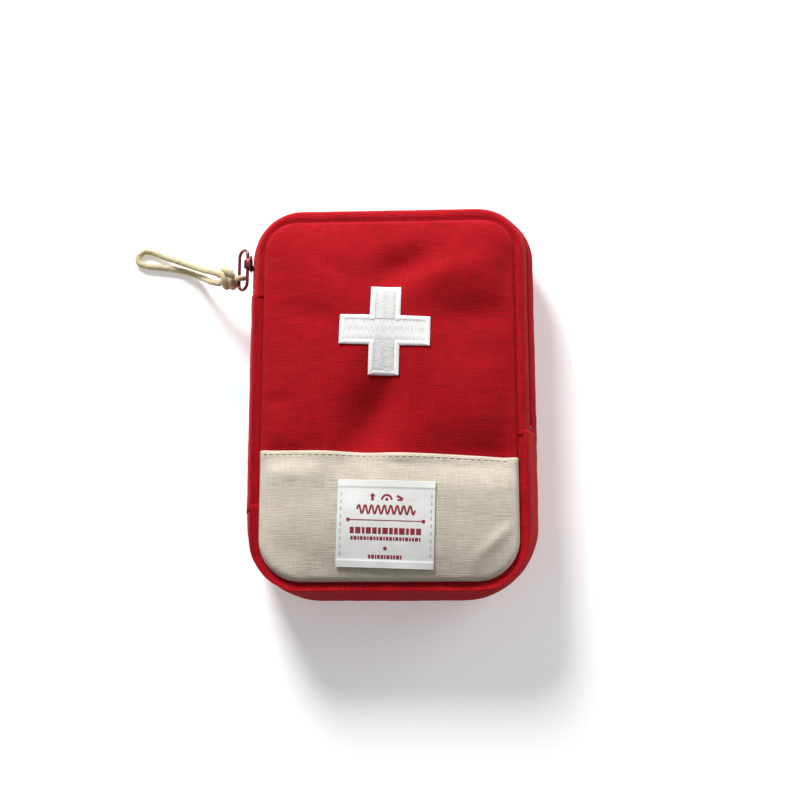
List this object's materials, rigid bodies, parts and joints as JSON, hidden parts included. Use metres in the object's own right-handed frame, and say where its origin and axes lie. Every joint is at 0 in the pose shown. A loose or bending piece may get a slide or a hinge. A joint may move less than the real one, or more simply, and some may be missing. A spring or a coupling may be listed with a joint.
{
  "type": "first aid pouch",
  "caption": "Small soft zipped first aid pouch of red canvas with a beige lower panel, a white cross patch, a zip over two sides, a pull cord and first aid contents.",
  "frame": {"origin": "centre of the flat back face, which the pouch lies on", "axes": "+Z out of the front panel, +Y towards the pouch's top edge, +X to its right seen from the front"},
  "size_m": [0.1908, 0.1794, 0.0405],
  "materials": {
    "red_canvas": "matte woven",
    "seam_binding": "matte tape",
    "padding": "soft foam",
    "lining": "smooth woven",
    "beige_canvas": "matte linen weave",
    "label_cloth": "satin weave",
    "embroidery": "satin stitch",
    "zip_tape": "woven tape",
    "zip_teeth": "satin",
    "zip_metal": "satin enamel",
    "cord": "braided",
    "elastic": "ribbed",
    "mesh": "open mesh",
    "steel": "brushed",
    "grip_plastic": "moulded",
    "tube_wall": "glossy",
    "gauze": "open weave",
    "card": "paper board",
    "tape": "smooth cloth",
    "sachet": "foil paper",
    "plaster_wrap": "paper"
  },
  "bodies": {
    "base": {"back_panel": "red_canvas", "back_padding": "padding", "back_lining": "lining", "back_binding": "seam_binding", "rear_side_band": "red_canvas", "left_band": "red_canvas", "bottom_band": "red_canvas", "side_lining": "lining", "front_panel_lower": "red_canvas", "front_padding_lower": "padding", "front_lining_lower": "lining", "front_binding_lower": "seam_binding", "beige_panel": "beige_canvas", "woven_label": "label_cloth", "cross_patch_left_arm": "embroidery", "cross_patch_low_arm": "embroidery", "zip_tape_rear": "zip_tape", "zip_teeth_rear": "zip_teeth", "zip_stop_left": "zip_metal", "zip_stop_right": "zip_metal", "zip_end_tab": "red_canvas", "elastic_webbing": "elastic", "tweezers_leaf_lower": "steel", "ointment_tube": "tube_wall", "ointment_cap": "grip_plastic", "scissor_blade_a": "steel", "scissor_grip_a": "grip_plastic", "scissor_rivet": "steel", "gauze_roll": "gauze", "tape_core": "card", "adhesive_tape": "tape", "folded_bandage": "gauze", "wipe_sachet_1": "sachet", "wipe_sachet_2": "sachet"},
    "flap": {"front_panel_upper": "red_canvas", "front_padding_upper": "padding", "front_lining_upper": "lining", "front_binding_upper": "seam_binding", "front_strip": "red_canvas", "zip_tape_front": "zip_tape", "zip_teeth_front": "zip_teeth", "cross_patch_upper": "embroidery", "flap_mesh_pocket": "mesh", "flap_pocket_binding": "seam_binding", "plaster_1": "plaster_wrap", "plaster_2": "plaster_wrap", "plaster_3": "plaster_wrap"},
    "slider": {"slider_body": "zip_metal"},
    "ring": {"pull_ring": "zip_metal"},
    "cord": {"cord_knot": "cord", "pull_cord": "cord"},
    "scissor_half": {"scissor_blade_b": "steel", "scissor_grip_b": "grip_plastic"},
    "tweezer_leaf": {"tweezers_leaf_upper": "steel"}
  },
  "joints": [
    {"name": "flap_fold", "type": "hinge", "parent": "base", "child": "flap", "pos_m": [0, 0.01535, 0.0394], "axis": [0.8907, -0.4545, 0], "range_deg": [0, 80]},
    {"name": "slider_run", "type": "hinge", "parent": "base", "child": "slider", "pos_m": [-0.0404, 0.0654, 0.0268], "axis": [0, 0, -1], "range_deg": [0, 90]},
    {"name": "ring_swing", "type": "hinge", "parent": "slider", "child": "ring", "pos_m": [-0.0662, 0.0635, 0.0268], "axis": [0, 1, 0], "range_deg": [0, 60]},
    {"name": "cord_swing", "type": "hinge", "parent": "ring", "child": "cord", "pos_m": [-0.07073, 0.0575, 0.02242], "axis": [0, 1, 0], "range_deg": [0, 40]},
    {"name": "scissors_open", "type": "hinge", "parent": "base", "child": "scissor_half", "pos_m": [0.022, 0.026, 0.0075], "axis": [0, 0, -1], "range_deg": [0, 12]},
    {"name": "tweezers_squeeze", "type": "hinge", "parent": "base", "child": "tweezer_leaf", "pos_m": [-0.043, 0.071, 0.0102], "axis": [1, 0, 0], "range_deg": [0, 3], "stiffness_Nm_per_rad": 0.3}
  ]
}
